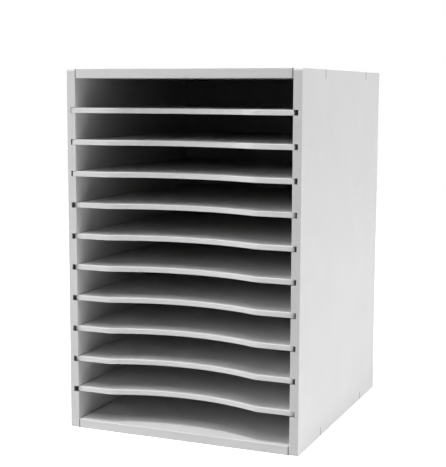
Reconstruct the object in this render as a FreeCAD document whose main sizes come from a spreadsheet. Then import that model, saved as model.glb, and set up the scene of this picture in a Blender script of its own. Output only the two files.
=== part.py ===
import FreeCAD, Part
import math
import os
import Sketcher

# A literature organizer: a cabinet of four boards and a thin back, held by tabs and dowels.
# Ten loose shelves slide in grooves in the side panels and divide the cabinet into eleven slots.
# X runs to the right, Y to the back and Z up. The origin is the middle of the underside.

document = FreeCAD.newDocument("literature_organizer")
size = document.addObject("Spreadsheet::Sheet", "size")

# Driving dimensions in millimetres: name, value and meaning.
driving_dimensions = [
    ("cabinet_width", 270, "over the outer faces of the side panels"),
    ("cabinet_depth", 300, "from the front edges of the boards to their rear edges"),
    ("cabinet_height", 400, "from the underside to the top"),
    ("side_thickness", 10, "board of the side panels"),
    ("deck_thickness", 10, "board of the top and bottom panels"),
    ("edge_round", 0.5, "eased edges of the four boards"),
    ("corner_round", 3, "rounded front corners of the side panels"),
    ("front_shoulder", 77, "cabinet front to the tab on each end of the top and bottom panels"),
    ("rear_shoulder", 63, "that tab to the cabinet rear"),
    ("tab_fit", 0.2, "gap before and behind a tab in its notch"),
    ("dowel_diameter", 5, "wooden dowels"),
    ("dowel_length", 22, "wooden dowels"),
    ("dowel_in_side", 6.5, "how far a dowel reaches into a side panel"),
    ("dowel_chamfer", 0.5, "both ends of a dowel"),
    ("dowel_fit", 0.05, "gap round a dowel"),
    ("dowel_end_gap", 0.5, "gap past each end of a dowel"),
    ("back_thickness", 3, "back panel"),
    ("back_inset", 5, "cabinet rear to the rear face of the back panel"),
    ("back_groove_depth", 4, "grooves that hold the back panel"),
    ("back_fit", 0.2, "gap before, behind and past the edges of the back panel"),
    ("shelf_count", 10, "loose shelves"),
    ("shelf_thickness", 5.5, "board of the shelves"),
    ("shelf_lift", 0.3, "gap above a shelf in its grooves"),
    ("groove_depth", 5.5, "shelf grooves in the side panels"),
    ("shelf_side_play", 4.5, "sideways play of a shelf between its two groove bottoms"),
    ("shelf_setback", 2.75, "cabinet front to the front edge of a shelf pushed home"),
    ("shelf_back_gap", 0.5, "shelf pushed home to the back panel"),
    ("shelf_corner_round", 1, "corners of a shelf seen from above"),
    ("shelf_edge_round", 0.5, "eased upper and lower edges of a shelf"),
    ("arc_width", 170, "chord of the finger arc in the front edge of a shelf"),
    ("arc_depth", 18, "how far the finger arc goes in"),
    ("arc_blend", 15, "rounding where the finger arc meets the straight edge"),
]
for row, (name, value, meaning) in enumerate(driving_dimensions, start=1):
    size.set(f"A{row}", name)
    size.set(f"B{row}", str(value))
    size.set(f"C{row}", meaning)
    size.setAlias(f"B{row}", name)
document.recompute()

# Places and sizes that several pieces share, as expressions on the driving dimensions.
FRONT = "(-size.cabinet_depth / 2)"
REAR = "(size.cabinet_depth / 2)"
HALF_WIDTH = "(size.cabinet_width / 2)"
HALF_INNER_WIDTH = "(size.cabinet_width / 2 - size.side_thickness)"
HALF_HEIGHT = "(size.cabinet_height / 2)"
TAB_FRONT = f"({FRONT} + size.front_shoulder)"
TAB_REAR = f"({REAR} - size.rear_shoulder)"
FRONT_DOWEL = f"({FRONT} + size.front_shoulder / 2)"
REAR_DOWEL = f"({REAR} - size.rear_shoulder / 2)"
HOLE_DIAMETER = "(size.dowel_diameter + 2 * size.dowel_fit)"
DOWEL_IN_DECK = "(size.dowel_length - size.dowel_in_side)"
BACK_REAR = f"({REAR} - size.back_inset)"
BACK_FRONT = f"({BACK_REAR} - size.back_thickness)"
SHELF_PITCH = "((size.cabinet_height - 2 * size.deck_thickness) / (size.shelf_count + 1))"
GROOVE_HEIGHT = "(size.shelf_thickness + size.shelf_lift)"


def value_of(expression):
    """The present value of an expression on the driving dimensions."""
    return float(size.evalExpression(expression))


def add_body(name):
    """A new sub-part, whose name is also its label."""
    body = document.addObject("PartDesign::Body", name)
    body.Label = name
    return body


def origin_of(body, role):
    """One of the planes or axes of a body's own origin."""
    for feature in body.Origin.OriginFeatures:
        if feature.Role == role:
            return feature
    raise ValueError(role)


def add_sketch(body, name, plane, offset=None):
    """A sketch on a plane of the body's origin, or shifted from it along its normal."""
    sketch = body.newObject("Sketcher::SketchObject", name)
    sketch.AttachmentSupport = [(origin_of(body, plane), "")]
    sketch.MapMode = "FlatFace"
    if offset is not None:
        sketch.setExpression("AttachmentOffset.Base.z", offset)
    return sketch


def bind(sketch, kind, *where_and_size):
    """A dimension in a sketch, bound to the expression that comes last."""
    *where, expression = where_and_size
    number = sketch.addConstraint(Sketcher.Constraint(kind, *where, value_of(expression)))
    name = f"{kind}_{number}"
    sketch.renameConstraint(number, name)
    sketch.setExpression(f"Constraints.{name}", expression)


def add_rectangle(sketch, left, right, low, high):
    """A rectangle between four lines, each given by its distance from the sketch's origin."""
    corners = [(left, low), (right, low), (right, high), (left, high)]
    points = [FreeCAD.Vector(value_of(x), value_of(y), 0) for x, y in corners]
    first = sketch.GeometryCount
    for number, point in enumerate(points):
        sketch.addGeometry(Part.LineSegment(point, points[(number + 1) % 4]))
    for number in range(4):
        following = first + (number + 1) % 4
        sketch.addConstraint(Sketcher.Constraint("Coincident", first + number, 2, following, 1))
    for number in (0, 2):
        sketch.addConstraint(Sketcher.Constraint("Horizontal", first + number))
        sketch.addConstraint(Sketcher.Constraint("Vertical", first + number + 1))
    bind(sketch, "DistanceX", -1, 1, first, 1, left)
    bind(sketch, "DistanceX", -1, 1, first, 2, right)
    bind(sketch, "DistanceY", -1, 1, first, 1, low)
    bind(sketch, "DistanceY", -1, 1, first + 2, 1, high)


def add_circle(sketch, across, up, diameter):
    """A circle by its centre and its diameter."""
    centre = FreeCAD.Vector(value_of(across), value_of(up), 0)
    upright = FreeCAD.Vector(0, 0, 1)
    number = sketch.addGeometry(Part.Circle(centre, upright, value_of(diameter) / 2))
    bind(sketch, "DistanceX", -1, 1, number, 3, across)
    bind(sketch, "DistanceY", -1, 1, number, 3, up)
    bind(sketch, "Diameter", number, diameter)


def add_pad(body, name, sketch, length):
    """Material raised from a sketch along its normal."""
    pad = body.newObject("PartDesign::Pad", name)
    pad.Profile = sketch
    pad.setExpression("Length", length)
    return pad


def add_pocket(body, name, sketch, depth, along_normal):
    """A cut as deep as given, along the sketch's normal or against it."""
    pocket = body.newObject("PartDesign::Pocket", name)
    pocket.Profile = sketch
    pocket.Reversed = along_normal
    pocket.setExpression("Length", depth)
    return pocket


def mirror(body, name, features, plane):
    """The same features again on the other side of a plane of the body's origin."""
    mirrored = body.newObject("PartDesign::Mirrored", name)
    mirrored.Originals = features
    mirrored.MirrorPlane = (origin_of(body, plane), [""])
    body.Tip = mirrored
    return mirrored


def round_edges(body, name, radius, wanted):
    """Round those edges of the body that a test picks."""
    document.recompute()
    base = body.Tip
    edges = [f"Edge{n}" for n, edge in enumerate(base.Shape.Edges, start=1) if wanted(edge)]
    fillet = body.newObject("PartDesign::Fillet", name)
    fillet.Base = (base, edges)
    fillet.setExpression("Radius", radius)
    return fillet


def lies_at(edge, axis, *places):
    """Whether an edge lies whole in a plane across the axis, at one of the places."""
    box = edge.BoundBox
    low = getattr(box, axis + "Min")
    high = getattr(box, axis + "Max")
    near = 0.001
    return any(abs(low - place) < near and abs(high - place) < near for place in places)


def place(body, x, y, z, rotation=FreeCAD.Rotation()):
    """Put a sub-part where three expressions say."""
    body.Placement = FreeCAD.Placement(FreeCAD.Vector(), rotation)
    for axis, expression in (("x", x), ("y", y), ("z", z)):
        body.setExpression(f"Placement.Base.{axis}", expression)


def add_side_panel(name):
    """A side panel, its inner face on local x = 0 and its middle height on local z = 0.

    It is the same upside down, so one drawing serves for both sides of the cabinet.
    """
    body = add_body(name)
    thickness = "size.side_thickness"
    outline = add_sketch(body, name + "_outline", "YZ_Plane")
    add_rectangle(outline, FRONT, REAR, f"-{HALF_HEIGHT}", HALF_HEIGHT)
    add_pad(body, name + "_board", outline, thickness)

    front = value_of(FRONT)
    rear = value_of(REAR)
    top = value_of(HALF_HEIGHT)
    outer_face = value_of(thickness)
    round_edges(body, name + "_front_corners", "size.corner_round",
                lambda edge: lies_at(edge, "Y", front) and lies_at(edge, "Z", top, -top))
    round_edges(body, name + "_eased_edges", "size.edge_round",
                lambda edge: lies_at(edge, "X", 0, outer_face) or lies_at(edge, "Y", rear))

    # The tab of the top panel lies in this notch, flush with the outer face.
    notch_outline = add_sketch(body, name + "_notch_outline", "YZ_Plane")
    add_rectangle(notch_outline, f"{TAB_FRONT} - size.tab_fit", f"{TAB_REAR} + size.tab_fit",
                  f"{HALF_HEIGHT} - size.deck_thickness", HALF_HEIGHT)
    notch = add_pocket(body, name + "_notch", notch_outline, thickness, True)

    dowel_height = f"{HALF_HEIGHT} - size.deck_thickness / 2"
    hole_outlines = add_sketch(body, name + "_hole_outlines", "YZ_Plane")
    add_circle(hole_outlines, FRONT_DOWEL, dowel_height, HOLE_DIAMETER)
    add_circle(hole_outlines, REAR_DOWEL, dowel_height, HOLE_DIAMETER)
    holes = add_pocket(body, name + "_dowel_holes", hole_outlines,
                       "size.dowel_in_side + size.dowel_end_gap", True)
    mirror(body, name + "_lower_end", [notch, holes], "XY_Plane")

    back_reach = f"({HALF_HEIGHT} - size.deck_thickness + size.back_groove_depth)"
    back_groove_outline = add_sketch(body, name + "_back_groove_outline", "YZ_Plane")
    add_rectangle(back_groove_outline, f"{BACK_FRONT} - size.back_fit",
                  f"{BACK_REAR} + size.back_fit", f"-{back_reach}", back_reach)
    add_pocket(body, name + "_back_groove", back_groove_outline, "size.back_groove_depth", True)

    lowest_groove = f"(size.deck_thickness + {SHELF_PITCH} - {HALF_HEIGHT})"
    groove_outline = add_sketch(body, name + "_groove_outline", "YZ_Plane")
    add_rectangle(groove_outline, FRONT, BACK_FRONT,
                  f"{lowest_groove} - {GROOVE_HEIGHT} / 2", f"{lowest_groove} + {GROOVE_HEIGHT} / 2")
    groove = add_pocket(body, name + "_lowest_groove", groove_outline, "size.groove_depth", True)
    grooves = body.newObject("PartDesign::LinearPattern", name + "_grooves")
    grooves.Originals = [groove]
    grooves.Direction = (origin_of(body, "Z_Axis"), [""])
    grooves.setExpression("Length", f"{SHELF_PITCH} * (size.shelf_count - 1)")
    grooves.setExpression("Occurrences", "size.shelf_count")
    body.Tip = grooves
    return body


def add_deck_panel(name):
    """A top or bottom panel, its inner face on local z = 0. The one is the other turned over."""
    body = add_body(name)
    thickness = "size.deck_thickness"
    outline = add_sketch(body, name + "_outline", "XY_Plane")
    add_rectangle(outline, f"-{HALF_WIDTH}", HALF_WIDTH, FRONT, REAR)
    add_pad(body, name + "_board", outline, thickness)

    # The corners are cut back to the side panels and leave a tab in the middle of each end.
    shoulder_outline = add_sketch(body, name + "_shoulder_outline", "XY_Plane")
    add_rectangle(shoulder_outline, HALF_INNER_WIDTH, HALF_WIDTH, FRONT, TAB_FRONT)
    add_rectangle(shoulder_outline, HALF_INNER_WIDTH, HALF_WIDTH, TAB_REAR, REAR)
    shoulders = add_pocket(body, name + "_shoulders", shoulder_outline, thickness, True)
    mirror(body, name + "_other_shoulders", [shoulders], "YZ_Plane")

    front = value_of(FRONT)
    rear = value_of(REAR)
    outer_face = value_of(thickness)
    end = value_of(HALF_INNER_WIDTH)
    tab_end = value_of(HALF_WIDTH)
    round_edges(body, name + "_eased_edges", "size.edge_round",
                lambda edge: lies_at(edge, "Y", front, rear) or (
                    lies_at(edge, "Z", outer_face) and lies_at(edge, "X", end, -end, tab_end, -tab_end)))

    back_groove_outline = add_sketch(body, name + "_back_groove_outline", "XY_Plane")
    add_rectangle(back_groove_outline, f"-{HALF_INNER_WIDTH}", HALF_INNER_WIDTH,
                  f"{BACK_FRONT} - size.back_fit", f"{BACK_REAR} + size.back_fit")
    add_pocket(body, name + "_back_groove", back_groove_outline, "size.back_groove_depth", True)

    hole_outlines = add_sketch(body, name + "_hole_outlines", "YZ_Plane", HALF_INNER_WIDTH)
    add_circle(hole_outlines, FRONT_DOWEL, "size.deck_thickness / 2", HOLE_DIAMETER)
    add_circle(hole_outlines, REAR_DOWEL, "size.deck_thickness / 2", HOLE_DIAMETER)
    holes = add_pocket(body, name + "_dowel_holes", hole_outlines,
                       f"{DOWEL_IN_DECK} + size.dowel_end_gap", False)
    mirror(body, name + "_other_dowel_holes", [holes], "YZ_Plane")
    return body


def add_back_panel(name):
    """The thin back panel, its lower edge on local z = 0. It is captive in the four boards."""
    body = add_body(name)
    reach = f"({HALF_INNER_WIDTH} + size.back_groove_depth - size.back_fit)"
    inner_height = "(size.cabinet_height - 2 * size.deck_thickness)"
    outline = add_sketch(body, name + "_outline", "XY_Plane")
    add_rectangle(outline, f"-{reach}", reach, BACK_FRONT, BACK_REAR)
    add_pad(body, name + "_board", outline,
            f"{inner_height} + 2 * size.back_groove_depth - size.back_fit")
    return body


def add_shelf(name):
    """A shelf, its underside on local z = 0, drawn where it lies when it is pushed home."""
    body = add_body(name)
    half_width = f"({HALF_INNER_WIDTH} + size.groove_depth - size.shelf_side_play / 2)"
    half_arc = "(size.arc_width / 2)"
    front_edge = f"({FRONT} + size.shelf_setback)"
    rear_edge = f"({BACK_FRONT} - size.shelf_back_gap)"
    arc_radius = f"({half_arc} ^ 2 + size.arc_depth ^ 2) / (2 * size.arc_depth)"

    side = value_of(half_width)
    arc_end = value_of(half_arc)
    front = value_of(front_edge)
    rear = value_of(rear_edge)
    radius = value_of(arc_radius)
    centre = FreeCAD.Vector(0, front + value_of("size.arc_depth") - radius, 0)
    sweep = math.asin(arc_end / radius)
    circle = Part.Circle(centre, FreeCAD.Vector(0, 0, 1), radius)
    corners = [(arc_end, front), (side, front), (side, rear),
               (-side, rear), (-side, front), (-arc_end, front)]
    points = [FreeCAD.Vector(x, y, 0) for x, y in corners]

    outline = add_sketch(body, name + "_outline", "XY_Plane")
    for start, end in zip(points, points[1:]):
        outline.addGeometry(Part.LineSegment(start, end))
    arc = outline.addGeometry(Part.ArcOfCircle(circle, math.pi / 2 - sweep, math.pi / 2 + sweep))
    for line in range(4):
        outline.addConstraint(Sketcher.Constraint("Coincident", line, 2, line + 1, 1))
    outline.addConstraint(Sketcher.Constraint("Coincident", arc, 1, 0, 1))
    outline.addConstraint(Sketcher.Constraint("Coincident", arc, 2, 4, 2))
    for line in (0, 4):
        outline.addConstraint(Sketcher.Constraint("Horizontal", line))
    for line in (1, 3):
        outline.addConstraint(Sketcher.Constraint("Vertical", line))
    outline.addConstraint(Sketcher.Constraint("Symmetric", arc, 1, arc, 2, -2))
    outline.addConstraint(Sketcher.Constraint("Symmetric", 1, 2, 2, 2, -2))
    bind(outline, "DistanceX", -1, 1, 0, 1, half_arc)
    bind(outline, "DistanceX", -1, 1, 1, 2, half_width)
    bind(outline, "DistanceY", -1, 1, 0, 1, front_edge)
    bind(outline, "DistanceY", -1, 1, 1, 2, rear_edge)
    bind(outline, "Radius", arc, arc_radius)
    add_pad(body, name + "_board", outline, "size.shelf_thickness")

    thickness = value_of("size.shelf_thickness")
    round_edges(body, name + "_arc_ends", "size.arc_blend",
                lambda edge: lies_at(edge, "X", arc_end, -arc_end) and lies_at(edge, "Y", front))
    round_edges(body, name + "_corners", "size.shelf_corner_round",
                lambda edge: lies_at(edge, "X", side, -side) and lies_at(edge, "Y", front, rear))
    round_edges(body, name + "_eased_edges", "size.shelf_edge_round",
                lambda edge: lies_at(edge, "Z", 0, thickness))
    return body


def add_dowel(name):
    """A wooden dowel along X, one end on local x = 0."""
    body = add_body(name)
    section = add_sketch(body, name + "_section", "YZ_Plane")
    circle = Part.Circle(FreeCAD.Vector(), FreeCAD.Vector(0, 0, 1), value_of("size.dowel_diameter") / 2)
    section.addGeometry(circle)
    section.addConstraint(Sketcher.Constraint("Coincident", 0, 3, -1, 1))
    bind(section, "Diameter", 0, "size.dowel_diameter")
    add_pad(body, name + "_rod", section, "size.dowel_length")
    document.recompute()
    rod = body.Tip
    ends = [f"Edge{n}" for n, edge in enumerate(rod.Shape.Edges, start=1)
            if lies_at(edge, "X", 0, value_of("size.dowel_length"))]
    chamfer = body.newObject("PartDesign::Chamfer", name + "_ends")
    chamfer.Base = (rod, ends)
    chamfer.setExpression("Size", "size.dowel_chamfer")
    return body


# The cabinet: two side panels, a top and a bottom panel and the back.
turned_over = FreeCAD.Rotation(FreeCAD.Vector(0, 1, 0), 180)
pieces = []

right_side = add_side_panel("right_side_panel")
place(right_side, HALF_INNER_WIDTH, "0", HALF_HEIGHT)
pieces.append(right_side)

left_side = add_side_panel("left_side_panel")
place(left_side, f"-{HALF_INNER_WIDTH}", "0", HALF_HEIGHT, turned_over)
pieces.append(left_side)

top = add_deck_panel("top_panel")
place(top, "0", "0", "size.cabinet_height - size.deck_thickness")
pieces.append(top)

bottom = add_deck_panel("bottom_panel")
place(bottom, "0", "0", "size.deck_thickness", turned_over)
pieces.append(bottom)

back = add_back_panel("back_panel")
place(back, "0", "0", "size.deck_thickness - size.back_groove_depth")
pieces.append(back)

# Two dowels hold each corner joint, one in the middle of each shoulder.
dowel_starts = {
    "left": f"-{HALF_INNER_WIDTH} - size.dowel_in_side",
    "right": f"{HALF_INNER_WIDTH} - {DOWEL_IN_DECK}",
}
dowel_heights = {
    "top": "size.cabinet_height - size.deck_thickness / 2",
    "bottom": "size.deck_thickness / 2",
}
dowel_depths = {"front": FRONT_DOWEL, "rear": REAR_DOWEL}
for level, dowel_height in dowel_heights.items():
    for side, dowel_start in dowel_starts.items():
        for shoulder, dowel_depth in dowel_depths.items():
            dowel = add_dowel(f"dowel_{level}_{side}_{shoulder}")
            place(dowel, dowel_start, dowel_depth, dowel_height)
            pieces.append(dowel)

# The loose shelves, numbered from the top. Each lies on the floors of its two grooves.
# They lie a little unevenly, as loose shelves do: this says how much of its sideways play
# each has used up, to the left where negative, and which ones stand forward.
share_of_play = {1: -0.9, 2: -0.45, 3: -0.4, 4: -0.2, 5: -0.3, 6: -0.3, 7: 0.1, 8: -0.3, 9: -0.3, 10: 0.5}
share_of_setback = {1: 0.9, 2: 0.9, 3: 0.9}
for number in range(1, int(value_of("size.shelf_count")) + 1):
    shelf = add_shelf(f"shelf_{number:02d}")
    sideways = f"{share_of_play.get(number, 0)} * size.shelf_side_play / 2"
    forward = f"-{share_of_setback.get(number, 0)} * size.shelf_setback"
    slots_below = f"(size.shelf_count + 1 - {number})"
    groove_floor = f"size.deck_thickness + {SHELF_PITCH} * {slots_below} - {GROOVE_HEIGHT} / 2"
    place(shelf, sideways, forward, groove_floor)
    pieces.append(shelf)

# Recompute, test every object and every shape, and write one file for each piece.
document.recompute()
for item in document.Objects:
    if "Invalid" in item.State or "Error" in item.State:
        raise RuntimeError(f"{item.Name} failed: {item.State}")
    if item.TypeId == "PartDesign::Pocket":
        removed = item.BaseFeature.Shape.Volume - item.Shape.Volume
        if removed <= 0:
            raise RuntimeError(f"{item.Name} cuts nothing")
for piece in pieces:
    if piece.Shape.isNull() or not piece.Shape.isValid() or len(piece.Shape.Solids) != 1:
        raise RuntimeError(f"{piece.Label} is not one valid solid")

os.makedirs("parts", exist_ok=True)
for piece in pieces:
    piece.Shape.exportStep(f"parts/{piece.Label}.step")
    box = piece.Shape.BoundBox
    print(f"{piece.Label}: {box.XLength:.2f} x {box.YLength:.2f} x {box.ZLength:.2f} mm,"
          f" {piece.Shape.Volume / 1000:.1f} cm3")
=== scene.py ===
import math

import bmesh
import bpy
from mathutils import Matrix, Vector


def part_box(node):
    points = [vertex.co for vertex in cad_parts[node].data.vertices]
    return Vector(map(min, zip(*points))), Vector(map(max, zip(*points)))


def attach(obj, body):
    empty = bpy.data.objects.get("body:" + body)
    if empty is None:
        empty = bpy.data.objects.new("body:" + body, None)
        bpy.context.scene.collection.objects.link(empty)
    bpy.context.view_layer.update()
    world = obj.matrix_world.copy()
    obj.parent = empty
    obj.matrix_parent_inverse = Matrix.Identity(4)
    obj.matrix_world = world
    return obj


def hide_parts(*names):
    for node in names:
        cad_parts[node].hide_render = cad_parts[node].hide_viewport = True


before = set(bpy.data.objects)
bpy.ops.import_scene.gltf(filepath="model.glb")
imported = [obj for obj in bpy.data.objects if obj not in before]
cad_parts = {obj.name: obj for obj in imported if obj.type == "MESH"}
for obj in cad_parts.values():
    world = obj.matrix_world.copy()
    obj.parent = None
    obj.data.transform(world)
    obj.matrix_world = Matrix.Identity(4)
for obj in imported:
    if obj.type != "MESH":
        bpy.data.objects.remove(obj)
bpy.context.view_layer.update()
MM = 0.001


# The two side panels carry everything else. Each is a 10 mm fibreboard with ten grooves for the
# shelves, one for the back, a notch at each end for the tabs of the deck panels, and dowel holes.
# It is cut and grooved first, then its edges are sanded soft and it is painted satin white.
SIDE_THICKNESS = 10 * MM
HALF_WIDTH = 135 * MM
HALF_INSIDE = 125 * MM
HALF_DEPTH = 150 * MM
HALF_HEIGHT = 200 * MM
EDGE_ROUND = 0.5 * MM
FRONT_CORNER_ROUND = 3 * MM
ARRIS_ROUND = 0.3 * MM
JOINT_ROUND = 0.7 * MM
SHARP_ANGLE = math.radians(50)
FLAT_ANGLE = math.radians(1)
DECK_THICKNESS = 10 * MM
TAB_FRONT = -73 * MM
TAB_REAR = 87 * MM
TAB_GAP = 0.2 * MM
SHELF_COUNT = 10
SHELF_PITCH = (2 * HALF_HEIGHT - 2 * DECK_THICKNESS) / (SHELF_COUNT + 1)
GROOVE_HEIGHT = 5.8 * MM
GROOVE_DEPTH = 5.5 * MM
BACK_FRONT = 142 * MM
BACK_REAR = 145 * MM
BACK_GROOVE_GAP = 0.2 * MM
BACK_GROOVE_DEPTH = 4 * MM
CUT_BEYOND = 2 * MM
DOWEL_HOLE_DIAMETER = 5.1 * MM
DOWEL_HOLE_POINTS = 24
DOWEL_HOLE_PLACES = (-111.5 * MM, 118.5 * MM)
HOLE_DEPTH_IN_SIDE = 7 * MM
SAME_PLACE = 0.01 * MM
SAME_POINT = 0.001 * MM
PAINT_COLOUR = (0.68, 0.68, 0.68, 1)
# A painted highlight on the rounded edges, which also stands for paint rubbed paler by handling.
RUBBED_HIGHLIGHT_COLOUR = (0.88, 0.88, 0.88, 1)
PAINT_ROUGHNESS = 0.45
PAINT_SPECULAR_LEVEL = 0.4
FINISH_PARTS = [("Colour", "NodeSocketColor"), ("Roughness", "NodeSocketFloat"),
                ("Normal", "NodeSocketVector")]


def add_node(tree, kind, *feeds, **settings):
    """A node of a tree. Each feed names one of its inputs, with a value or with the output it reads."""
    node = tree.nodes.new(kind)
    for setting, value in settings.items():
        setattr(node, setting, value)
    for key, value in feeds:
        if isinstance(value, bpy.types.NodeSocket):
            tree.links.new(value, node.inputs[key])
        else:
            node.inputs[key].default_value = value
    return node


def calculate(tree, operation, *values, clamp=False):
    """The result of a sum whose values are numbers or the outputs of nodes."""
    return add_node(tree, "ShaderNodeMath", *enumerate(values), operation=operation,
                    use_clamp=clamp).outputs[0]


def scale_by(tree, vector, share):
    """A place or a colour times a number."""
    return add_node(tree, "ShaderNodeVectorMath", (0, vector), ("Scale", share),
                    operation="SCALE").outputs[0]


def stretch_by(tree, place, shares):
    """A place drawn out along its axes: a small share makes a pattern long on that axis."""
    return add_node(tree, "ShaderNodeVectorMath", (0, place), (1, shares),
                    operation="MULTIPLY").outputs[0]


def spread(tree, value, from_low, from_high, to_low, to_high, **settings):
    """A value carried over from one range to another, and held inside it."""
    return add_node(tree, "ShaderNodeMapRange", ("Value", value), ("From Min", from_low),
                    ("From Max", from_high), ("To Min", to_low), ("To Max", to_high),
                    **settings).outputs["Result"]


def blend(tree, share, first, second):
    """The first colour with a share of the second in it."""
    return add_node(tree, "ShaderNodeMix", ("Factor", share), ("A", first), ("B", second),
                    data_type="RGBA").outputs["Result"]


def add_noise(tree, place, scale, detail=2.0, roughness=0.5):
    """Uneven patches, about this many of them to a metre."""
    return add_node(tree, "ShaderNodeTexNoise", ("Vector", place), ("Scale", scale), ("Detail", detail),
                    ("Roughness", roughness)).outputs["Fac"]


def vary(tree, noise, low, high):
    """A noise, which mostly lies between 0.3 and 0.7, carried over to a range of its own."""
    return spread(tree, noise, 0.3, 0.7, low, high)


def add_bump(tree, height, distance, *under):
    """Relief in a surface, on top of the relief under it."""
    return add_node(tree, "ShaderNodeBump", ("Height", height), ("Distance", distance),
                    *(("Normal", normal) for normal in under)).outputs["Normal"]


def start_tree(name, kind, inputs, outputs):
    """A node tree with named inputs and outputs, what its inputs give, and the node for its results."""
    tree = bpy.data.node_groups.new(name, kind)
    for label, socket_type, value in inputs:
        socket = tree.interface.new_socket(label, in_out="INPUT", socket_type=socket_type)
        if value is not None:
            socket.default_value = value
    for label, socket_type in outputs:
        tree.interface.new_socket(label, in_out="OUTPUT", socket_type=socket_type)
    return tree, tree.nodes.new("NodeGroupInput").outputs, tree.nodes.new("NodeGroupOutput")


def finish_tree(tree, result, **values):
    """Lead values to the outputs of a node tree."""
    for label, value in values.items():
        tree.links.new(value, result.inputs[label])
    return tree


def add_paint_film():
    """Sprayed paint: faint clouds in its colour, changes of gloss and the fine peel of its surface."""
    tree, given, result = start_tree("paint_film", "ShaderNodeTree", [
        ("Colour", "NodeSocketColor", PAINT_COLOUR),
        ("Cloudiness", "NodeSocketFloat", 0.03),
        ("Roughness", "NodeSocketFloat", PAINT_ROUGHNESS),
        ("Gloss Change", "NodeSocketFloat", 0.05),
        ("Peel Size", "NodeSocketFloat", 1.4 * MM),
        ("Peel Height", "NodeSocketFloat", 0.02 * MM),
    ], FINISH_PARTS)
    place = add_node(tree, "ShaderNodeTexCoord").outputs["Object"]
    clouds = add_noise(tree, place, 16.0, detail=3.0)
    shade = vary(tree, clouds, calculate(tree, "SUBTRACT", 1.0, given["Cloudiness"]), 1.0)
    gloss = add_noise(tree, place, 45.0, detail=4.0)
    glossier = calculate(tree, "MULTIPLY", given["Gloss Change"], -1.0)
    dulled = vary(tree, gloss, glossier, given["Gloss Change"])
    peel = add_noise(tree, place, calculate(tree, "DIVIDE", 1.0, given["Peel Size"]), detail=1.5,
                     roughness=0.4)
    return finish_tree(tree, result, Colour=scale_by(tree, given["Colour"], shade),
                       Roughness=calculate(tree, "ADD", given["Roughness"], dulled),
                       Normal=add_bump(tree, peel, given["Peel Height"]))


def add_board_edges():
    """Sawn edges of fibreboard drink paint, so they are duller and show faint fibres along them.

    The edges' own colour is painted light: it is set lighter than the wide faces, as the light falls on
    the front edges. The rounded corners between them and the wide faces are painted paler, a painted
    highlight in patches that also stands for paint rubbed a little paler by handling.
    """
    tree, given, result = start_tree("board_edges", "ShaderNodeTree", [
        ("Colour", "NodeSocketColor", PAINT_COLOUR),
        ("Edge Colour", "NodeSocketColor", PAINT_COLOUR),
        ("Rubbed Highlight Colour", "NodeSocketColor", RUBBED_HIGHLIGHT_COLOUR),
        ("Roughness", "NodeSocketFloat", PAINT_ROUGHNESS),
        ("Dulling", "NodeSocketFloat", 0.1),
        ("Normal", "NodeSocketVector", None),
        ("Board Normal", "NodeSocketVector", (0, 0, 1)),
        ("Stretch", "NodeSocketVector", (0.15, 1, 1)),
        ("Fibre Height", "NodeSocketFloat", 0.02 * MM),
    ], FINISH_PARTS)
    coordinates = add_node(tree, "ShaderNodeTexCoord").outputs
    along = add_node(tree, "ShaderNodeVectorMath", (0, coordinates["Normal"]),
                     (1, given["Board Normal"]), operation="DOT_PRODUCT").outputs["Value"]
    facing = calculate(tree, "ABSOLUTE", along)
    on_edge = spread(tree, facing, 0.75, 0.35, 0.0, 1.0)
    squared = calculate(tree, "POWER", facing, 2.0)
    across = calculate(tree, "SUBTRACT", 1.0, squared, clamp=True)
    # A painted highlight along the middle of each rounding, which also stands for rubbed paint.
    rounded = calculate(tree, "MULTIPLY", calculate(tree, "MULTIPLY", squared, across), 4.0)
    rub_patches = vary(tree, add_noise(tree, coordinates["Object"], 70.0, detail=3.0), 0.5, 1.0)
    rub_highlight_mask = calculate(tree, "MULTIPLY", rounded, rub_patches, clamp=True)
    drawn_out = stretch_by(tree, coordinates["Object"], given["Stretch"])
    fibres = add_noise(tree, drawn_out, 1600.0, detail=3.0, roughness=0.6)
    height = calculate(tree, "MULTIPLY", fibres, on_edge)
    duller = calculate(tree, "MULTIPLY", on_edge, given["Dulling"])
    # Painted light: the edges take their own, lighter colour.
    edge_lit = blend(tree, on_edge, given["Colour"], given["Edge Colour"])
    flecked = scale_by(tree, edge_lit, spread(tree, height, 0.0, 1.0, 1.0, 0.94))
    return finish_tree(tree, result, Colour=blend(tree, rub_highlight_mask, flecked, given["Rubbed Highlight Colour"]),
                       Roughness=calculate(tree, "ADD", given["Roughness"], duller),
                       Normal=add_bump(tree, height, given["Fibre Height"], given["Normal"]))


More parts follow.
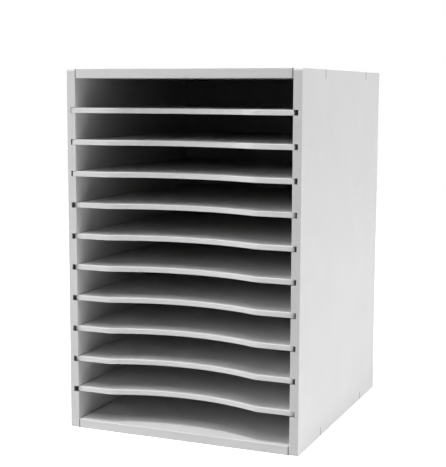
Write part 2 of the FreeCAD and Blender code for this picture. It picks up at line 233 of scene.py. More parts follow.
def add_joint_shade_line():
    """Painted shade: a dark line along the closed joint between a deck panel and a side panel, which goes
    round the tab.
    """
    tree, given, result = start_tree("joint_line", "ShaderNodeTree", [
        ("Colour", "NodeSocketColor", PAINT_COLOUR),
        ("Shade Colour", "NodeSocketColor", (0.16, 0.16, 0.16, 1)),
        ("From Middle", "NodeSocketFloat", HALF_INSIDE - 0.9 * MM),
        ("Tab Middle", "NodeSocketFloat", (TAB_FRONT + TAB_REAR) / 2),
        ("Half Tab", "NodeSocketFloat", (TAB_REAR - TAB_FRONT) / 2),
        ("Level", "NodeSocketFloat", HALF_HEIGHT - DECK_THICKNESS),
        ("Width", "NodeSocketFloat", 1.2 * MM),
    ], FINISH_PARTS[:1])
    place = add_node(tree, "ShaderNodeTexCoord").outputs["Object"]
    split = add_node(tree, "ShaderNodeSeparateXYZ", ("Vector", place)).outputs
    sideways = calculate(tree, "ABSOLUTE", split["X"])
    past_end = calculate(tree, "SUBTRACT", sideways, given["From Middle"])
    off_tab = calculate(tree, "ABSOLUTE", calculate(tree, "SUBTRACT", split["Y"], given["Tab Middle"]))
    past_tab = calculate(tree, "SUBTRACT", off_tab, given["Half Tab"])
    distance = calculate(tree, "ABSOLUTE", calculate(tree, "MINIMUM", past_end, past_tab))
    near = spread(tree, calculate(tree, "DIVIDE", distance, given["Width"]), 0.25, 0.75, 1.0, 0.0,
                  interpolation_type="SMOOTHSTEP")
    height = calculate(tree, "ABSOLUTE", calculate(tree, "SUBTRACT", split["Z"], HALF_HEIGHT))
    beside_deck = calculate(tree, "GREATER_THAN", height, given["Level"])
    # The dark line is painted shade, laid where the joint's shade falls.
    painted_joint_shade = calculate(tree, "MULTIPLY", near, beside_deck)
    return finish_tree(tree, result, Colour=blend(tree, painted_joint_shade, given["Colour"], given["Shade Colour"]))


PAINT_FILM = add_paint_film()
JOINT_SHADE_LINE = add_joint_shade_line()
BOARD_EDGES = add_board_edges()


def start_material(name, specular_level):
    """A material, its node tree and its Principled shader, with the shader's own gloss."""
    material = bpy.data.materials.new(name)
    material.use_nodes = True
    surface = material.node_tree.nodes["Principled BSDF"]
    surface.inputs["Specular IOR Level"].default_value = specular_level
    return material, material.node_tree, surface


def lead_finish(tree, surface, colour, roughness, normal):
    """Lead the parts of a finish to a material's shader."""
    tree.links.new(colour, surface.inputs["Base Color"])
    tree.links.new(roughness, surface.inputs["Roughness"])
    tree.links.new(normal, surface.inputs["Normal"])


def add_painted_board(name, colour, edge_colour, rubbed_highlight_colour, board_normal, stretch,
                      roughness=PAINT_ROUGHNESS):
    """Painted fibreboard, whose sawn edges are those that don't face along the board's own normal."""
    material, tree, surface = start_material(name, PAINT_SPECULAR_LEVEL)
    film = add_node(tree, "ShaderNodeGroup", ("Colour", colour), ("Roughness", roughness),
                    node_tree=PAINT_FILM).outputs
    edges = add_node(tree, "ShaderNodeGroup", ("Edge Colour", edge_colour),
                     ("Rubbed Highlight Colour", rubbed_highlight_colour), ("Board Normal", board_normal),
                     ("Stretch", stretch), *((label, film[label]) for label, kind in FINISH_PARTS),
                     node_tree=BOARD_EDGES).outputs
    joints = add_node(tree, "ShaderNodeGroup", ("Colour", edges["Colour"]), node_tree=JOINT_SHADE_LINE).outputs
    lead_finish(tree, surface, joints["Colour"], edges["Roughness"], edges["Normal"])
    return material


def make_real(tree, instances, material):
    """Instances turned into a mesh of its own, with a material."""
    real = add_node(tree, "GeometryNodeRealizeInstances", ("Geometry", instances))
    return add_node(tree, "GeometryNodeSetMaterial", ("Geometry", real.outputs["Geometry"]),
                    ("Material", material)).outputs["Geometry"]


def cut_away(tree, board, cutters):
    """What a board keeps when these cutters have gone through it."""
    return add_node(tree, "GeometryNodeMeshBoolean", ("Mesh 1", board), ("Mesh 2", cutters),
                    operation="DIFFERENCE", solver="EXACT").outputs["Mesh"]


def add_row_of_cuts():
    """Equal cuts of a router in a row: boxes taken out of a board, with a paint of their own inside."""
    tree, given, result = start_tree("row_of_cuts", "GeometryNodeTree", [
        ("Geometry", "NodeSocketGeometry", None),
        ("Count", "NodeSocketInt", 1),
        ("First", "NodeSocketVector", (0, 0, 0)),
        ("Step", "NodeSocketVector", (0, 0, 0)),
        ("Size", "NodeSocketVector", (1, 1, 1)),
        ("Material", "NodeSocketMaterial", None),
    ], [("Geometry", "NodeSocketGeometry")])
    row = add_node(tree, "GeometryNodeMeshLine", ("Count", given["Count"]),
                   ("Start Location", given["First"]), ("Offset", given["Step"]))
    cutter = add_node(tree, "GeometryNodeMeshCube", ("Size", given["Size"]))
    cutters = add_node(tree, "GeometryNodeInstanceOnPoints", ("Points", row.outputs["Mesh"]),
                       ("Instance", cutter.outputs["Mesh"]))
    lined = make_real(tree, cutters.outputs["Instances"], given["Material"])
    return finish_tree(tree, result, Geometry=cut_away(tree, given["Geometry"], lined))


def add_row_of_holes():
    """Two equal dowel holes, drilled along a board's length or thickness."""
    tree, given, result = start_tree("row_of_holes", "GeometryNodeTree", [
        ("Geometry", "NodeSocketGeometry", None),
        ("First", "NodeSocketVector", (0, 0, 0)),
        ("Step", "NodeSocketVector", (0, 0, 0)),
        ("Turn", "NodeSocketVector", (0, 0, 0)),
        ("Diameter", "NodeSocketFloat", DOWEL_HOLE_DIAMETER),
        ("Length", "NodeSocketFloat", 2 * HOLE_DEPTH_IN_SIDE),
        ("Material", "NodeSocketMaterial", None),
    ], [("Geometry", "NodeSocketGeometry")])
    row = add_node(tree, "GeometryNodeMeshLine", ("Count", 2),
                   ("Start Location", given["First"]), ("Offset", given["Step"]))
    drill = add_node(tree, "GeometryNodeMeshCylinder", ("Vertices", DOWEL_HOLE_POINTS),
                     ("Radius", calculate(tree, "MULTIPLY", given["Diameter"], 0.5)),
                     ("Depth", given["Length"]))
    turn = add_node(tree, "FunctionNodeEulerToRotation", ("Euler", given["Turn"]))
    drills = add_node(tree, "GeometryNodeInstanceOnPoints", ("Points", row.outputs["Mesh"]),
                      ("Instance", drill.outputs["Mesh"]), ("Rotation", turn.outputs["Rotation"]))
    lined = make_real(tree, drills.outputs["Instances"], given["Material"])
    return finish_tree(tree, result, Geometry=cut_away(tree, given["Geometry"], lined))


ROW_OF_CUTS = add_row_of_cuts()
ROW_OF_HOLES = add_row_of_holes()


def add_live_tree(piece, tree, **values):
    """A Geometry Nodes modifier on a piece, whose inputs are set by their identifiers."""
    modifier = piece.modifiers.new(tree.name, "NODES")
    modifier.node_group = tree
    for socket in tree.interface.items_tree:
        label = socket.name.replace(" ", "_").lower()
        if socket.in_out == "INPUT" and label in values:
            modifier[socket.identifier] = values[label]


def make_plain(piece):
    """Turn what a piece's live modifiers make into its own plain mesh."""
    bpy.context.view_layer.update()
    evaluated = piece.evaluated_get(bpy.context.evaluated_depsgraph_get())
    made = bpy.data.meshes.new_from_object(evaluated)
    piece.modifiers.clear()
    for index in reversed(range(len(made.materials))):
        if made.materials[index] is None:
            made.materials.pop(index=index)
    piece.data = made


def add_piece(name, data):
    """A mesh, a lamp or a camera, set out in the scene."""
    piece = bpy.data.objects.new(name, data)
    bpy.context.scene.collection.objects.link(piece)
    return piece


def lies_at(edge, axis, *places):
    """Whether both ends of an edge lie at one of these places on an axis."""
    first, second = (end.co[axis] for end in edge.verts)
    return any(abs(first - place) < SAME_PLACE and abs(second - place) < SAME_PLACE for place in places)


def round_edges(shape, is_wanted, radius, segments=4, coat=-1):
    """Round the edges of a shape that pass a test. A coat gives the rounding a material of its own."""
    edges = [edge for edge in shape.edges if is_wanted(edge)]
    bmesh.ops.bevel(shape, geom=edges, offset=radius, segments=segments, profile=0.5,
                    affect="EDGES", clamp_overlap=False, material=coat)


def add_board(name, outline, thickness, roundings, material):
    """A board from its outline, flat on z = 0. Roundings lists tests of an edge, each with a radius."""
    shape = bmesh.new()
    corners = [shape.verts.new((x, y, 0)) for x, y in outline]
    face = shape.faces.new(corners)
    raised = bmesh.ops.extrude_face_region(shape, geom=[face])
    for item in raised["geom"]:
        if isinstance(item, bmesh.types.BMVert):
            item.co.z = thickness
    bmesh.ops.recalc_face_normals(shape, faces=shape.faces[:])
    for is_wanted, radius in roundings:
        round_edges(shape, is_wanted, radius)
    mesh = bpy.data.meshes.new(name)
    shape.to_mesh(mesh)
    shape.free()
    mesh.materials.append(material)
    return add_piece(name, mesh)


def soften_arrises(piece, is_closed_joint, is_open_joint):
    """Break the corners that are still sharp by hand-sanding's small radius, apart from closed joints.

    The edges of an open joint are broken wider, and their slope gets the joint walls' dark painted shade.
    """
    shape = bmesh.new()
    shape.from_mesh(piece.data)
    bmesh.ops.remove_doubles(shape, verts=shape.verts[:], dist=SAME_POINT)
    bmesh.ops.dissolve_limit(shape, angle_limit=FLAT_ANGLE, verts=shape.verts[:],
                             edges=shape.edges[:], delimit={"MATERIAL"})

    def is_sharp(edge):
        return (edge.is_manifold and edge.calc_face_angle_signed() > SHARP_ANGLE
                and not is_closed_joint(edge))

    round_edges(shape, lambda edge: is_sharp(edge) and is_open_joint(edge), JOINT_ROUND, 2, coat=1)
    round_edges(shape, is_sharp, ARRIS_ROUND, 2)
    shape.to_mesh(piece.data)
    shape.free()


def finish_shading(piece):
    """Smooth the rounded edges, and keep the wide faces flat and the true corners sharp."""
    piece.data.shade_smooth()
    piece.data.set_sharp_from_angle(angle=SHARP_ANGLE)
    weighted = piece.modifiers.new("flat_faces", "WEIGHTED_NORMAL")
    weighted.weight = 100
    weighted.keep_sharp = True
    make_plain(piece)


def build_in(panel, drawing, place, turned_over):
    """Carry a cut panel from its drawing to its place in the cabinet, where it rides."""
    turn = Matrix.Rotation(math.pi, 4, "Y") if turned_over else Matrix.Identity(4)
    panel.data.transform(Matrix.Translation(place) @ turn @ drawing)
    finish_shading(panel)
    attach(panel, "cabinet")
    return panel


# The edge colours below are painted light: they make the sawn front edges lighter than the wide faces.
SIDE_LIT_EDGE_COLOUR = (0.69, 0.69, 0.69, 1)
# The cuts' dark grey is painted shade: it darkens the grooves, notches and holes, and the open joints'
# slopes.
CUT_SHADE_COLOUR = (0.22, 0.22, 0.22, 1)
CUT_RUBBED_HIGHLIGHT_COLOUR = (0.24, 0.24, 0.24, 1)
CUT_ROUGHNESS = 0.75

side_paint = add_painted_board("side_paint", PAINT_COLOUR, SIDE_LIT_EDGE_COLOUR, RUBBED_HIGHLIGHT_COLOUR,
                               (1, 0, 0), (1, 1, 0.12))
# Painted shade lines every cut: a dark paint where shade falls inside the board.
dull_cut = add_painted_board("dull_cut", CUT_SHADE_COLOUR, CUT_SHADE_COLOUR, CUT_RUBBED_HIGHLIGHT_COLOUR,
                             (0, 0, 1), (1, 0.12, 1), roughness=CUT_ROUGHNESS)

# The drawing lies flat, with the panel's inner face down: x is its depth and y its height.
SIDE_OUTLINE = [(-HALF_DEPTH, -HALF_HEIGHT), (HALF_DEPTH, -HALF_HEIGHT),
                (HALF_DEPTH, HALF_HEIGHT), (-HALF_DEPTH, HALF_HEIGHT)]
SIDE_TO_CABINET = Matrix(((0, 0, 1, 0), (1, 0, 0, 0), (0, 1, 0, 0), (0, 0, 0, 1)))


def is_front_corner(edge):
    return lies_at(edge, 0, -HALF_DEPTH) and lies_at(edge, 1, -HALF_HEIGHT, HALF_HEIGHT)


def is_side_edge(edge):
    at_rear = lies_at(edge, 0, HALF_DEPTH) and lies_at(edge, 1, -HALF_HEIGHT, HALF_HEIGHT)
    return at_rear or lies_at(edge, 2, 0, SIDE_THICKNESS)


def is_notch_bottom(edge):
    return lies_at(edge, 1, HALF_HEIGHT - DECK_THICKNESS, DECK_THICKNESS - HALF_HEIGHT)


def is_notch_side(edge):
    return lies_at(edge, 2, SIDE_THICKNESS) and lies_at(edge, 0, TAB_FRONT - TAB_GAP, TAB_REAR + TAB_GAP)


def add_side_panel(name, inner_face, turned_over):
    """One side panel, cut like its CAD solid, and put in its place in the cabinet."""
    panel = add_board(name, SIDE_OUTLINE, SIDE_THICKNESS,
                      [(is_front_corner, FRONT_CORNER_ROUND), (is_side_edge, EDGE_ROUND)],
                      side_paint)
    groove_length = HALF_DEPTH + BACK_FRONT + CUT_BEYOND
    lowest = DECK_THICKNESS + SHELF_PITCH - HALF_HEIGHT
    add_live_tree(panel, ROW_OF_CUTS, count=SHELF_COUNT,
                  first=(BACK_FRONT - groove_length / 2, lowest, (GROOVE_DEPTH - CUT_BEYOND) / 2),
                  step=(0, SHELF_PITCH, 0),
                  size=(groove_length, GROOVE_HEIGHT, GROOVE_DEPTH + CUT_BEYOND),
                  material=dull_cut)
    notch_height = DECK_THICKNESS + CUT_BEYOND
    add_live_tree(panel, ROW_OF_CUTS, count=2,
                  first=((TAB_FRONT + TAB_REAR) / 2, notch_height / 2 - CUT_BEYOND - HALF_HEIGHT,
                         SIDE_THICKNESS / 2),
                  step=(0, 2 * HALF_HEIGHT - notch_height + 2 * CUT_BEYOND, 0),
                  size=(TAB_REAR - TAB_FRONT + 2 * TAB_GAP, notch_height,
                        SIDE_THICKNESS + 2 * CUT_BEYOND),
                  material=dull_cut)
    add_live_tree(panel, ROW_OF_CUTS, count=1,
                  first=((BACK_FRONT + BACK_REAR) / 2, 0, (BACK_GROOVE_DEPTH - CUT_BEYOND) / 2),
                  size=(BACK_REAR - BACK_FRONT + 2 * BACK_GROOVE_GAP,
                        2 * (HALF_HEIGHT - DECK_THICKNESS + BACK_GROOVE_DEPTH),
                        BACK_GROOVE_DEPTH + CUT_BEYOND),
                  material=dull_cut)
    for place in DOWEL_HOLE_PLACES:
        add_live_tree(panel, ROW_OF_HOLES,
                      first=(place, DECK_THICKNESS / 2 - HALF_HEIGHT, 0),
                      step=(0, 2 * HALF_HEIGHT - DECK_THICKNESS, 0),
                      material=dull_cut)
    make_plain(panel)
    soften_arrises(panel, is_notch_bottom, is_notch_side)
    return build_in(panel, SIDE_TO_CABINET, (inner_face, 0, HALF_HEIGHT), turned_over)


right_side = add_side_panel("right_side", HALF_INSIDE, False)
left_side = add_side_panel("left_side", -HALF_INSIDE, True)
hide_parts("right_side_panel")
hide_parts("left_side_panel")


# The top and bottom are the deck panels. They lie between the side panels and are let into them
# by a tab at each end, which shows on the outside as a closed joint. Two dowels in each end hold
# them, and a groove near the rear takes the back board. They are painted with the side panels.
HOLE_DEPTH_IN_DECK = 16 * MM
# The decks' edge colour is painted light, lighter than their wide faces.
DECK_LIT_EDGE_COLOUR = (0.7, 0.7, 0.7, 1)

deck_paint = add_painted_board("deck_paint", PAINT_COLOUR, DECK_LIT_EDGE_COLOUR, RUBBED_HIGHLIGHT_COLOUR,
                               (0, 0, 1), (0.12, 1, 1))

DECK_OUTLINE = [(-HALF_INSIDE, -HALF_DEPTH), (HALF_INSIDE, -HALF_DEPTH), (HALF_INSIDE, TAB_FRONT),
                (HALF_WIDTH, TAB_FRONT), (HALF_WIDTH, TAB_REAR), (HALF_INSIDE, TAB_REAR),
                (HALF_INSIDE, HALF_DEPTH), (-HALF_INSIDE, HALF_DEPTH), (-HALF_INSIDE, TAB_REAR),
                (-HALF_WIDTH, TAB_REAR), (-HALF_WIDTH, TAB_FRONT), (-HALF_INSIDE, TAB_FRONT)]


def is_deck_edge(edge):
    at_end = lies_at(edge, 0, -HALF_WIDTH, -HALF_INSIDE, HALF_INSIDE, HALF_WIDTH)
    return lies_at(edge, 1, -HALF_DEPTH, HALF_DEPTH) or (at_end and lies_at(edge, 2, DECK_THICKNESS))


def is_tab_bottom(edge):
    nearest = min(abs(end.co.x) for end in edge.verts)
    return lies_at(edge, 2, 0) and nearest > HALF_INSIDE - SAME_PLACE


def is_tab_side(edge):
    return lies_at(edge, 0, -HALF_WIDTH, HALF_WIDTH) and lies_at(edge, 1, TAB_FRONT, TAB_REAR)


def add_deck_panel(name, inner_face, turned_over):
    """The top or bottom, cut like its CAD solid, and put in its place in the cabinet."""
    panel = add_board(name, DECK_OUTLINE, DECK_THICKNESS, [(is_deck_edge, EDGE_ROUND)], deck_paint)
    add_live_tree(panel, ROW_OF_CUTS, count=1,
                  first=(0, (BACK_FRONT + BACK_REAR) / 2, (BACK_GROOVE_DEPTH - CUT_BEYOND) / 2),
                  size=(2 * (HALF_INSIDE + CUT_BEYOND), BACK_REAR - BACK_FRONT + 2 * BACK_GROOVE_GAP,
                        BACK_GROOVE_DEPTH + CUT_BEYOND),
                  material=dull_cut)
    for place in DOWEL_HOLE_PLACES:
        add_live_tree(panel, ROW_OF_HOLES,
                      first=(-HALF_INSIDE, place, DECK_THICKNESS / 2),
                      step=(2 * HALF_INSIDE, 0, 0), turn=(0, math.pi / 2, 0),
                      length=2 * HOLE_DEPTH_IN_DECK, material=dull_cut)
    make_plain(panel)
    soften_arrises(panel, is_tab_bottom, is_tab_side)
    return build_in(panel, Matrix.Identity(4), (0, 0, inner_face), turned_over)


top = add_deck_panel("top", 2 * HALF_HEIGHT - DECK_THICKNESS, False)
bottom = add_deck_panel("bottom", DECK_THICKNESS, True)
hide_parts("top_panel")
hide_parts("bottom_panel")


# The back is a thin hardboard sheet, slid into the grooves before the cabinet is closed. It gets one
# thin coat of the same paint, so the pressed texture of the hardboard still shows through.
# The hardboard's grey is darker than the other boards' paint: painted shade, for the dark inside of the
# cabinet.
HARDBOARD_SHADE_COLOUR = (0.45, 0.45, 0.45, 1)
HARDBOARD_SPECULAR_LEVEL = 0.3


def add_pressed_board():
    """Thinly painted hardboard: the small pits and fibre clumps of its pressed face."""
    tree, given, result = start_tree("pressed_board", "ShaderNodeTree", [
        ("Colour", "NodeSocketColor", HARDBOARD_SHADE_COLOUR),
        ("Grain Size", "NodeSocketFloat", 0.9 * MM),
        ("Height", "NodeSocketFloat", 0.08 * MM),
    ], FINISH_PARTS)
    place = add_node(tree, "ShaderNodeTexCoord").outputs["Object"]
    grain = add_noise(tree, place, calculate(tree, "DIVIDE", 1.0, given["Grain Size"]), detail=4.0,
                      roughness=0.65)
    clumps = add_noise(tree, place, 60.0, detail=3.0)
    return finish_tree(tree, result, Colour=scale_by(tree, given["Colour"], vary(tree, clumps, 0.9, 1.0)),
                       Roughness=vary(tree, grain, 0.6, 0.75),
                       Normal=add_bump(tree, grain, given["Height"]))


def add_finish(name, group, specular_level):
    """A material whose whole finish is one shader group."""
    material, tree, surface = start_material(name, specular_level)
    finish = add_node(tree, "ShaderNodeGroup", node_tree=group).outputs
    lead_finish(tree, surface, finish["Colour"], finish["Roughness"], finish["Normal"])
    return material


back_paint = add_finish("painted_hardboard", add_pressed_board(), HARDBOARD_SPECULAR_LEVEL)
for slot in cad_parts["back_panel"].material_slots:
    slot.material = back_paint


# Eight beech dowels, glued into the ends of the deck panels and the side panels. Each has the pressed
# flutes that let glue and air out, and chamfered ends. They are bare wood, with the grain along them.
DOWEL_DIAMETER = 5 * MM
DOWEL_LENGTH = 22 * MM
DOWEL_CHAMFER = 0.5 * MM
FLUTE_COUNT = 10
FLUTE_DEPTH = 0.15 * MM
POINTS_PER_FLUTE = 6
LIGHT_BEECH = (0.62, 0.43, 0.26, 1)
DARK_BEECH = (0.45, 0.28, 0.15, 1)
BEECH_SPECULAR_LEVEL = 0.3


def add_beech():
    """Beech: straight grain lines along x, short dark flecks and small changes of tone."""
    tree, given, result = start_tree("beech_grain", "ShaderNodeTree", [
        ("Light Wood", "NodeSocketColor", LIGHT_BEECH),
        ("Dark Wood", "NodeSocketColor", DARK_BEECH),
        ("Fleck Share", "NodeSocketFloat", 0.35),
        ("Grain Height", "NodeSocketFloat", 0.03 * MM),
    ], FINISH_PARTS)
    place = add_node(tree, "ShaderNodeTexCoord").outputs["Object"]
    drawn_out = stretch_by(tree, place, (0.08, 1, 1))
    lines = add_noise(tree, drawn_out, 1400.0, detail=4.0, roughness=0.6)
    rings = add_noise(tree, drawn_out, 260.0)
    flecks = add_noise(tree, stretch_by(tree, place, (0.3, 1, 1)), 2600.0)
    dark = spread(tree, flecks, 0.55, 0.7, 0.0, given["Fleck Share"])
    toned = spread(tree, calculate(tree, "MULTIPLY", lines, rings), 0.15, 0.4, 0.0, 0.8)
    share = calculate(tree, "ADD", toned, dark, clamp=True)
    return finish_tree(tree, result, Colour=blend(tree, share, given["Light Wood"], given["Dark Wood"]),
                       Roughness=vary(tree, lines, 0.55, 0.7),
                       Normal=add_bump(tree, lines, given["Grain Height"]))


def add_fluted_dowels():
    """A fluted pin swept along x, narrowed at its ends, set on every point of a mesh."""
    tree, given, result = start_tree("fluted_dowels", "GeometryNodeTree", [
        ("Places", "NodeSocketGeometry", None),
        ("Diameter", "NodeSocketFloat", DOWEL_DIAMETER),
        ("Length", "NodeSocketFloat", DOWEL_LENGTH),
        ("Chamfer", "NodeSocketFloat", DOWEL_CHAMFER),
        ("Flutes", "NodeSocketInt", FLUTE_COUNT),
        ("Flute Depth", "NodeSocketFloat", FLUTE_DEPTH),
        ("Material", "NodeSocketMaterial", None),
    ], [("Geometry", "NodeSocketGeometry")])
    radius = calculate(tree, "MULTIPLY", given["Diameter"], 0.5)
    points_around = calculate(tree, "MULTIPLY", given["Flutes"], POINTS_PER_FLUTE)
    section = add_node(tree, "GeometryNodeCurvePrimitiveCircle", ("Resolution", points_around),
                       ("Radius", radius))
    turn = calculate(tree, "MULTIPLY", add_node(tree, "GeometryNodeSplineParameter").outputs["Factor"],
                     2 * math.pi)
    wave = calculate(tree, "COSINE", calculate(tree, "MULTIPLY", turn, given["Flutes"]))
    dip = spread(tree, wave, 0.2, 1.0, 0.0, given["Flute Depth"])
    share = calculate(tree, "DIVIDE", calculate(tree, "SUBTRACT", radius, dip), radius)
    place = add_node(tree, "GeometryNodeInputPosition").outputs[0]
    fluted = add_node(tree, "GeometryNodeSetPosition", ("Geometry", section.outputs["Curve"]),
                      ("Position", scale_by(tree, place, share)))

    # The spine has four points, two at the ends and two where the chamfers start.
    half = calculate(tree, "MULTIPLY", given["Length"], 0.5)
    start_point = add_node(tree, "ShaderNodeCombineXYZ", ("X", calculate(tree, "MULTIPLY", half, -1.0)))
    end_point = add_node(tree, "ShaderNodeCombineXYZ", ("X", half))
    line = add_node(tree, "GeometryNodeCurvePrimitiveLine", ("Start", start_point.outputs[0]),
                    ("End", end_point.outputs[0]))
    four = add_node(tree, "GeometryNodeResampleCurve", ("Curve", line.outputs["Curve"]), ("Count", 4))
    index = add_node(tree, "GeometryNodeInputIndex").outputs[0]
    from_middle = calculate(tree, "SUBTRACT", index, 1.5)
    is_end = calculate(tree, "GREATER_THAN", calculate(tree, "ABSOLUTE", from_middle), 1.0)
    inner = calculate(tree, "SUBTRACT", half, given["Chamfer"])
    reach = add_node(tree, "ShaderNodeMix", ("Factor", is_end), ("A", inner), ("B", half))
    reach_x = calculate(tree, "MULTIPLY", reach.outputs["Result"], calculate(tree, "SIGN", from_middle))
    reach_point = add_node(tree, "ShaderNodeCombineXYZ", ("X", reach_x)).outputs[0]
    spine = add_node(tree, "GeometryNodeSetPosition", ("Geometry", four.outputs["Curve"]),
                     ("Position", reach_point))
    narrow = calculate(tree, "DIVIDE", calculate(tree, "SUBTRACT", radius, given["Chamfer"]), radius)
    width = add_node(tree, "ShaderNodeMix", ("Factor", is_end), ("A", 1.0), ("B", narrow))
    sized = add_node(tree, "GeometryNodeSetCurveRadius", ("Curve", spine.outputs["Geometry"]),
                     ("Radius", width.outputs["Result"]))
    swept = add_node(tree, "GeometryNodeCurveToMesh", ("Curve", sized.outputs["Curve"]),
                     ("Profile Curve", fluted.outputs["Geometry"]), ("Fill Caps", True))
    if "Scale" in swept.inputs:
        curve_radius = add_node(tree, "GeometryNodeInputRadius").outputs[0]
        tree.links.new(curve_radius, swept.inputs["Scale"])
    pins = add_node(tree, "GeometryNodeInstanceOnPoints", ("Points", given["Places"]),
                    ("Instance", swept.outputs["Mesh"]))
    return finish_tree(tree, result,
                       Geometry=make_real(tree, pins.outputs["Instances"], given["Material"]))


beech = add_finish("beech", add_beech(), BEECH_SPECULAR_LEVEL)
dowel_nodes = [f"dowel_{level}_{side}_{end}" for level in ("top", "bottom")
               for side in ("left", "right") for end in ("front", "rear")]
dowel_mesh = bpy.data.meshes.new("dowels")
dowel_mesh.from_pydata([sum(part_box(node), Vector()) / 2 for node in dowel_nodes], [], [])
dowels = add_piece("dowels", dowel_mesh)
add_live_tree(dowels, add_fluted_dowels(), material=beech)
make_plain(dowels)
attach(dowels, "cabinet")
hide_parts(*dowel_nodes)


# Ten loose shelves slide in the side panels' grooves. Each is a 5.5 mm board whose front edge has a
# shallow arc cut out for the fingers, with small blends where the arc meets the straight ends.
# The long edges are eased with a small round-over and the board is painted on all sides.
SHELF_THICKNESS = 5.5 * MM
FINGER_CHORD = 170 * MM
FINGER_DEPTH = 18 * MM
FINGER_BLEND = 2.2 * MM
FRONT_POINTS = 161
SHELF_EDGE_ROUND = 0.5 * MM
SHELF_PLAN_CORNER = 1 * MM
NEAR_SHELF_END = 128 * MM
OUTLINE_ANGLE = math.radians(45)
# The shelves' edge colour is painted light and their rubbed colour a painted highlight, both paler than
# the paint.
SHELF_LIT_EDGE_COLOUR = (0.76, 0.76, 0.76, 1)
SHELF_RUBBED_HIGHLIGHT_COLOUR = (0.92, 0.92, 0.92, 1)

shelf_paint = add_painted_board("shelf_paint", PAINT_COLOUR, SHELF_LIT_EDGE_COLOUR, SHELF_RUBBED_HIGHLIGHT_COLOUR,
                                (0, 0, 1), (0.12, 1, 1))


def add_shelf_board():
    """A flat board whose front edge follows an arc cut into it, blended into straight ends."""
    tree, given, result = start_tree("shelf_board", "GeometryNodeTree", [
        ("Geometry", "NodeSocketGeometry", None),
        ("Width", "NodeSocketFloat", 256.5 * MM),
        ("Depth", "NodeSocketFloat", 288.75 * MM),
        ("Thickness", "NodeSocketFloat", SHELF_THICKNESS),
        ("Chord", "NodeSocketFloat", FINGER_CHORD),
        ("Arc Depth", "NodeSocketFloat", FINGER_DEPTH),
        ("Blend", "NodeSocketFloat", FINGER_BLEND),
        ("Material", "NodeSocketMaterial", None),
    ], [("Geometry", "NodeSocketGeometry")])
    sheet = add_node(tree, "GeometryNodeMeshGrid", ("Size X", given["Width"]), ("Size Y", given["Depth"]),
                     ("Vertices X", FRONT_POINTS), ("Vertices Y", 2))
    place = add_node(tree, "GeometryNodeInputPosition").outputs[0]
    split = add_node(tree, "ShaderNodeSeparateXYZ", ("Vector", place)).outputs
    at_front = calculate(tree, "LESS_THAN", split["Y"], 0.0)

    # The arc's radius follows from its chord and depth, and its rise from the radius.
    half_chord = calculate(tree, "MULTIPLY", given["Chord"], 0.5)
    square = calculate(tree, "ADD", calculate(tree, "POWER", half_chord, 2.0),
                       calculate(tree, "POWER", given["Arc Depth"], 2.0))
    radius = calculate(tree, "DIVIDE", square, calculate(tree, "MULTIPLY", given["Arc Depth"], 2.0))
    left_over = calculate(tree, "SUBTRACT", calculate(tree, "POWER", radius, 2.0),
                          calculate(tree, "POWER", split["X"], 2.0))
    from_centre = calculate(tree, "SQRT", calculate(tree, "MAXIMUM", 0.0, left_over))
    rise = calculate(tree, "SUBTRACT", from_centre,
                     calculate(tree, "SUBTRACT", radius, given["Arc Depth"]))
    inset = calculate(tree, "SMOOTH_MAX", rise, 0.0, given["Blend"])
    move = add_node(tree, "ShaderNodeCombineXYZ", ("Y", calculate(tree, "MULTIPLY", inset, at_front)))
    shaped = add_node(tree, "GeometryNodeSetPosition", ("Geometry", sheet.outputs["Mesh"]),
                      ("Offset", move.outputs[0]))

    half_up = add_node(tree, "ShaderNodeCombineXYZ",
                       ("Z", calculate(tree, "MULTIPLY", given["Thickness"], 0.5))).outputs[0]
    lowered = add_node(tree, "GeometryNodeSetPosition", ("Geometry", shaped.outputs["Geometry"]),
                       ("Offset", scale_by(tree, half_up, -1.0)))
    raised = add_node(tree, "GeometryNodeExtrudeMesh", ("Mesh", lowered.outputs["Geometry"]),
                      ("Offset Scale", given["Thickness"]), ("Individual", False), mode="FACES")
    underside = add_node(tree, "GeometryNodeFlipFaces", ("Mesh", lowered.outputs["Geometry"]))
    both = add_node(tree, "GeometryNodeJoinGeometry")
    tree.links.new(raised.outputs["Mesh"], both.inputs[0])
    tree.links.new(underside.outputs["Mesh"], both.inputs[0])
    closed = add_node(tree, "GeometryNodeMergeByDistance", ("Geometry", both.outputs[0]),
                      ("Distance", SAME_PLACE))
    return finish_tree(tree, result,
                       Geometry=make_real(tree, closed.outputs["Geometry"], given["Material"]))


def is_plan_corner(edge):
    first, second = (end.co for end in edge.verts)
    return first.z * second.z < 0 and min(abs(first.x), abs(second.x)) > NEAR_SHELF_END


def is_outline_edge(edge):
    first, second = (end.co for end in edge.verts)
    return first.z * second.z > 0 and edge.calc_face_angle() > OUTLINE_ANGLE


SHELF_BOARD = add_shelf_board()
for number in range(1, SHELF_COUNT + 1):
    node = f"shelf_{number:02d}"
    low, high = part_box(node)
    shelf = add_piece(f"painted_{node}", bpy.data.meshes.new(f"painted_{node}"))
    add_live_tree(shelf, SHELF_BOARD, width=high.x - low.x, depth=high.y - low.y,
                  thickness=high.z - low.z, material=shelf_paint)
    make_plain(shelf)
    shape = bmesh.new()
    shape.from_mesh(shelf.data)
    round_edges(shape, is_plan_corner, SHELF_PLAN_CORNER)
    round_edges(shape, is_outline_edge, SHELF_EDGE_ROUND)
    shape.to_mesh(shelf.data)
    shape.free()
    shelf.data.transform(Matrix.Translation((low + high) / 2))
    finish_shading(shelf)
    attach(shelf, node)
    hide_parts(node)


# The photographer's table: one pale floor under the organizer, which fades into white.
# It is matt, and it glows only where it is seen, straight or in a gloss.
FLOOR_SIZE = 3.0
FLOOR_COLOUR = (0.85, 0.85, 0.85, 1)
FADE_START = 0.4
FADE_END = 1.0
GLOW_AT_START = 0.8


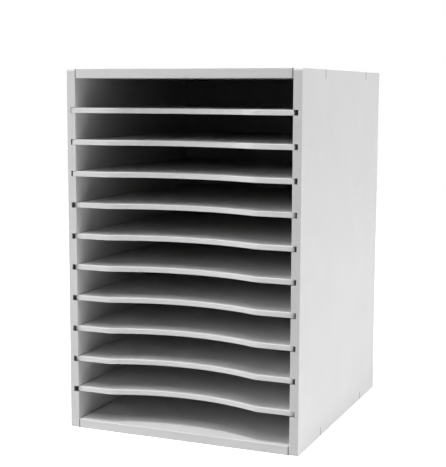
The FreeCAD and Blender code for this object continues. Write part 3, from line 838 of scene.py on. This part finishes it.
def add_seen_rays(tree):
    """The rays that see the surroundings: the camera's own, and those off gloss or through glass."""
    rays = add_node(tree, "ShaderNodeLightPath").outputs
    mirrored = calculate(tree, "ADD", rays["Is Camera Ray"], rays["Is Glossy Ray"])
    return calculate(tree, "ADD", mirrored, rays["Is Transmission Ray"], clamp=True)


floor_paint = bpy.data.materials.new("pale_floor")
floor_paint.use_nodes = True
floor_tree = floor_paint.node_tree
floor_tree.nodes.clear()
floor_matt = add_node(floor_tree, "ShaderNodeBsdfDiffuse", ("Color", FLOOR_COLOUR)).outputs[0]
floor_place = add_node(floor_tree, "ShaderNodeTexCoord").outputs["Object"]
floor_reach = add_node(floor_tree, "ShaderNodeVectorMath", (0, floor_place), operation="LENGTH")
floor_fade = spread(floor_tree, floor_reach.outputs["Value"], FADE_START, FADE_END, GLOW_AT_START, 1.0)
floor_glow = add_node(floor_tree, "ShaderNodeEmission", ("Strength", floor_fade))
floor_both = add_node(floor_tree, "ShaderNodeAddShader", (0, floor_matt), (1, floor_glow.outputs[0]))
floor_mix = add_node(floor_tree, "ShaderNodeMixShader", ("Fac", add_seen_rays(floor_tree)),
                     (1, floor_matt), (2, floor_both.outputs[0]))
add_node(floor_tree, "ShaderNodeOutputMaterial", ("Surface", floor_mix.outputs[0]))
floor_mesh = bpy.data.meshes.new("floor")
floor_mesh.from_pydata([(x * FLOOR_SIZE, y * FLOOR_SIZE, 0)
                        for x, y in ((-1, -1), (1, -1), (1, 1), (-1, 1))], [], [(0, 1, 2, 3)])
floor_mesh.materials.append(floor_paint)
floor = add_piece("floor", floor_mesh)


# The studio's light: soft boxes high above the front, one low on the right, two small ones close on
# the left and a weak one behind. The background is white where it is seen, straight or in a gloss,
# and gives the matt surfaces no light.
def add_softbox(name, place, size, watts):
    """A rectangular lamp that faces the middle of the organizer."""
    lamp = bpy.data.lights.new(name, "AREA")
    lamp.shape = "RECTANGLE"
    lamp.size, lamp.size_y = size
    lamp.energy = watts
    softbox = add_piece(name, lamp)
    direction = Vector((0, 0, HALF_HEIGHT)) - Vector(place)
    softbox.location = place
    softbox.rotation_euler = direction.to_track_quat("-Z", "Y").to_euler()


add_softbox("overhead_wide", (0.2, -0.55, 1.8), (0.9, 0.7), 8.8)
add_softbox("overhead_steep", (0.02, -0.34, 1.8), (0.35, 0.22), 14.4)
add_softbox("high_front", (0, -1.6, 2.2), (1.4, 0.8), 13.8)
add_softbox("right_fill", (2.0, 0.3, 0.2), (1.4, 0.36), 22.4)
add_softbox("near_left", (-0.85, -0.5, 0.45), (0.3, 0.3), 1.7)
add_softbox("near_left_low", (-0.85, -0.5, 0.15), (0.3, 0.3), 1.7)
add_softbox("rear_fill", (0, 1.6, 0.2), (0.26, 0.36), 4.5)

world = bpy.data.worlds.new("studio")
world.use_nodes = True
bpy.context.scene.world = world
sky = world.node_tree
sky.nodes.clear()
sky_white = add_node(sky, "ShaderNodeBackground", ("Color", (1, 1, 1, 1)), ("Strength", 1.0))
sky_dark = add_node(sky, "ShaderNodeBackground", ("Strength", 0.0))
sky_mix = add_node(sky, "ShaderNodeMixShader", ("Fac", add_seen_rays(sky)),
                   (1, sky_dark.outputs[0]), (2, sky_white.outputs[0]))
add_node(sky, "ShaderNodeOutputWorld", ("Surface", sky_mix.outputs[0]))
bpy.context.scene.view_settings.view_transform = "Standard"


# The camera stands to the right of the front and a little below the top, as in the photograph.
# It looks down by a few degrees, and its long lens keeps the upright edges nearly parallel.
CAMERA_PLACE = (0.48664, -1.20840, 0.37515)
CAMERA_TURN = math.radians(22.434)
CAMERA_DIP = math.radians(7.250)
CAMERA_ROLL = 0.00406
LENS = 85.426
SENSOR_WIDTH = 36

lens = bpy.data.cameras.new("photo_camera")
lens.lens = LENS
lens.sensor_width = SENSOR_WIDTH
camera = add_piece("photo_camera", lens)
camera.matrix_world = (Matrix.Translation(CAMERA_PLACE)
                       @ Matrix.Rotation(CAMERA_TURN, 4, "Z")
                       @ Matrix.Rotation(math.pi / 2 - CAMERA_DIP, 4, "X")
                       @ Matrix.Rotation(CAMERA_ROLL, 4, "Z"))
bpy.context.scene.camera = camera
